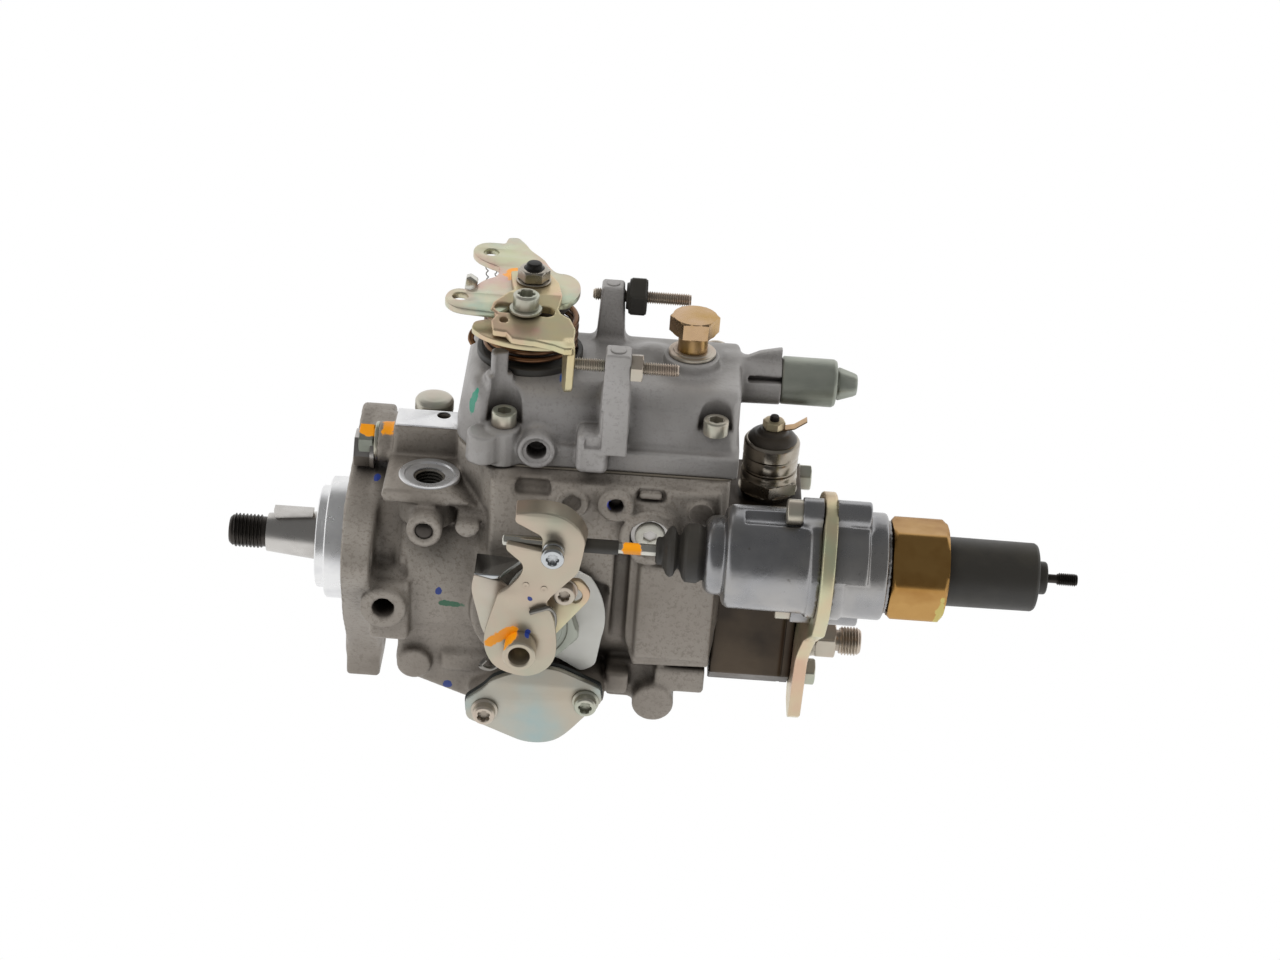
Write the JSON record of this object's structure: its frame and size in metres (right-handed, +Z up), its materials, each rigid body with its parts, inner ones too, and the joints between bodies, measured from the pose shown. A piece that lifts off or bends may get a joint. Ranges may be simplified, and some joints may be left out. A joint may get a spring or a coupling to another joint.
{
  "type": "rotary diesel injection pump",
  "caption": "Rotary distributor injection pump with mechanical governor, throttle lever pack and cold start actuator, for a small diesel engine.",
  "frame": {"origin": "centre of the mounting face, where the drive shaft's axis meets it", "axes": "+X along the drive shaft towards the delivery outlets, +Z up towards the throttle levers, -Y towards the side with the cold start device"},
  "size_m": [0.3351, 0.1395, 0.1958],
  "materials": {
    "cast_aluminium": "die cast, fine grain, satin",
    "steel_black": "black oxide, dull",
    "steel_bright": "turned and ground, satin",
    "steel_dark": "machined and oiled, slightly worn",
    "zinc_plate": "zinc plated, clear passivate",
    "zinc_yellow": "zinc plated, yellow passivate",
    "spring_steel": "oil tempered wire",
    "brass": "turned, slightly tarnished",
    "black_plastic": "moulded, dull",
    "rubber": "moulded, matt",
    "gasket": "pressed fibre",
    "bronze": "sintered bronze"
  },
  "bodies": {
    "pump": {"actuator_housing": "cast_aluminium", "actuator_screws": "zinc_plate", "barrel": "steel_bright", "bracket": "zinc_yellow", "cold_bush": "zinc_plate", "cold_stops": "zinc_plate", "cover_gasket": "gasket", "cover_screws": "zinc_plate", "delivery_fittings": "zinc_plate", "element_housing": "cast_aluminium", "full_load_screw": "zinc_plate", "governor_cover": "cast_aluminium", "governor_pins": "steel_bright", "head_bolts": "zinc_plate", "housing": "cast_aluminium", "housing_plugs": "zinc_plate", "hydraulic_head": "steel_dark", "overflow_bolt": "brass", "plunger_springs": "spring_steel", "pressure_valve": "zinc_plate", "pump_ring": "steel_bright", "return_spring": "spring_steel", "rod_boot": "rubber", "shaft_bearing": "bronze", "solenoid_body": "steel_dark", "solenoid_terminal": "black_plastic", "stop_screws": "zinc_plate", "timing_covers": "zinc_plate", "timing_screws": "zinc_plate", "timing_seals": "rubber", "timing_spring": "spring_steel", "top_collar": "black_plastic", "torsion_spring": "spring_steel", "wax_cap": "black_plastic", "wax_element": "brass"},
    "shaft": {"drive_shaft": "steel_black", "woodruff_key": "steel_bright", "pump_rotor": "steel_bright", "drive_gear": "steel_bright"},
    "governor": {"governor_cage": "steel_bright"},
    "plunger": {"cam_plate": "steel_bright", "plunger": "steel_bright"},
    "bridge": {"spring_bridge": "steel_bright"},
    "governor_lever": {"governor_lever": "steel_bright", "governor_spring": "spring_steel"},
    "sleeve": {"governor_sleeve": "steel_bright"},
    "collar": {"control_collar": "steel_bright"},
    "timing_piston": {"timing_piston": "steel_bright"},
    "roller_ring": {"roller_ring": "steel_bright"},
    "throttle": {"throttle_shaft": "steel_bright", "ear_plate": "zinc_yellow", "stop_plate": "zinc_yellow", "spring_plate": "zinc_yellow", "lever_fasteners": "zinc_plate"},
    "cold_rod": {"actuator_rod": "steel_bright", "clamp_pin": "zinc_plate"},
    "cold_lever": {"cold_lever": "zinc_plate", "cold_shaft": "zinc_plate"},
    "armature": {"solenoid_armature": "steel_bright"},
    "delivery_valves": {"delivery_valves": "steel_bright"}
  },
  "joints": [
    {"name": "shaft_turn", "type": "hinge", "parent": "pump", "child": "shaft", "pos_m": [0, 0, 0], "axis": [1, 0, 0], "continuous": true},
    {"name": "governor_turn", "type": "hinge", "parent": "pump", "child": "governor", "pos_m": [0.05, 0, 0.041], "axis": [1, 0, 0], "continuous": true},
    {"name": "plunger_stroke", "type": "slide", "parent": "shaft", "child": "plunger", "axis": [1, 0, 0], "range_m": [-0.0022, 0], "stiffness_N_per_m": 8000, "springref_m": -0.0022, "deforming": ["plunger_springs"]},
    {"name": "bridge_stroke", "type": "slide", "parent": "pump", "child": "bridge", "axis": [1, 0, 0], "range_m": [-0.0022, 0]},
    {"name": "governor_lever_tilt", "type": "hinge", "parent": "pump", "child": "governor_lever", "pos_m": [0.118, 0, 0.022], "axis": [0, 1, 0], "range_deg": [0, 10]},
    {"name": "sleeve_slide", "type": "slide", "parent": "pump", "child": "sleeve", "axis": [1, 0, 0], "range_m": [0, 0.00287], "stiffness_N_per_m": 2000},
    {"name": "collar_slide", "type": "slide", "parent": "pump", "child": "collar", "axis": [1, 0, 0], "range_m": [-0.0024, 0]},
    {"name": "timing_slide", "type": "slide", "parent": "pump", "child": "timing_piston", "axis": [0, 1, 0], "range_m": [0, 0.0056], "stiffness_N_per_m": 6000, "deforming": ["timing_spring"]},
    {"name": "roller_ring_turn", "type": "hinge", "parent": "pump", "child": "roller_ring", "pos_m": [0.08, 0, 0], "axis": [1, 0, 0], "range_deg": [0, 8]},
    {"name": "throttle_turn", "type": "hinge", "parent": "pump", "child": "throttle", "pos_m": [0.073, 0, 0.1], "axis": [0, 0, 1], "range_deg": [-50, 0], "stiffness_Nm_per_rad": 0.8, "deforming": ["return_spring"]},
    {"name": "rod_slide", "type": "slide", "parent": "pump", "child": "cold_rod", "axis": [1, 0, 0], "range_m": [-0.0078, 0], "stiffness_N_per_m": 1500, "deforming": ["rod_boot", "torsion_spring"]},
    {"name": "cold_lever_turn", "type": "hinge", "parent": "pump", "child": "cold_lever", "pos_m": [0.0777, -0.05, -0.0026], "axis": [0, 1, 0], "range_deg": [-10.5, 0]},
    {"name": "armature_lift", "type": "slide", "parent": "pump", "child": "armature", "axis": [0, 0, 1], "range_m": [0, 0.0011], "stiffness_N_per_m": 2000},
    {"name": "valve_lift", "type": "slide", "parent": "pump", "child": "delivery_valves", "axis": [1, 0, 0], "range_m": [0, 0.002], "stiffness_N_per_m": 2000}
  ],
  "couplings": [
    {"joint": "governor_turn", "follows": "shaft_turn", "ratio": -1.6667},
    {"joint": "bridge_stroke", "follows": "plunger_stroke", "ratio": 1},
    {"joint": "governor_lever_tilt", "follows": "sleeve_slide", "rad_per_m": 60.6},
    {"joint": "collar_slide", "follows": "sleeve_slide", "ratio": -0.7576},
    {"joint": "roller_ring_turn", "follows": "timing_slide", "rad_per_m": 24.69},
    {"joint": "cold_lever_turn", "follows": "rod_slide", "rad_per_m": 22.7}
  ]
}
